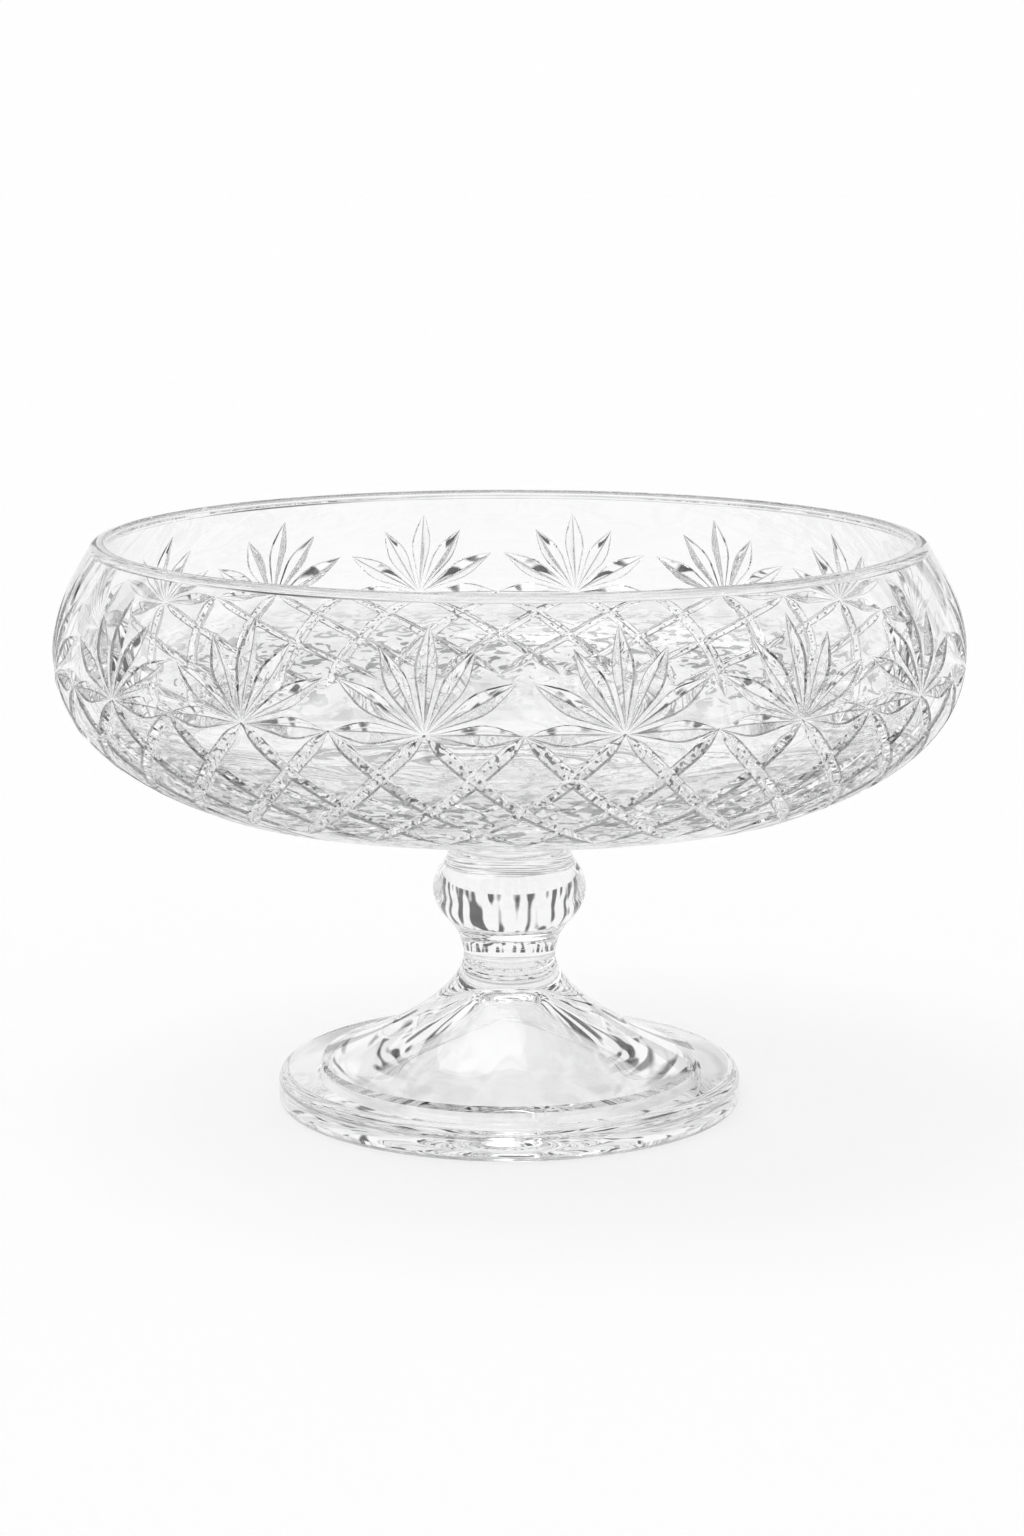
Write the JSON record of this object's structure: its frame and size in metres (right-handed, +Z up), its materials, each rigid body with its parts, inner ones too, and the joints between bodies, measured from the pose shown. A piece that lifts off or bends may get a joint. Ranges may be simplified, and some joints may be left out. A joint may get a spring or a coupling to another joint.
{
  "type": "footed serving bowl",
  "caption": "Footed crystal serving bowl with an in-curved rim, fans and diamonds cut in the outer wall, a knopped stem and a hollow spread foot; holds fruit or salad on a table.",
  "frame": {"origin": "centre of the resting ring under the foot, on the table plane", "axes": "+Z up along the turning axis; -Y toward the camera of the picture, +X to its right"},
  "size_m": [0.2538, 0.2538, 0.1611],
  "materials": {
    "crystal": "clear polished crystal, cut facets polished",
    "bond_film": "clear cured adhesive film"
  },
  "bodies": {
    "root": {"cut_bowl": "crystal", "bowl_bond": "bond_film", "knop_stem": "crystal", "foot_bond": "bond_film", "spread_foot": "crystal"}
  },
  "joints": []
}
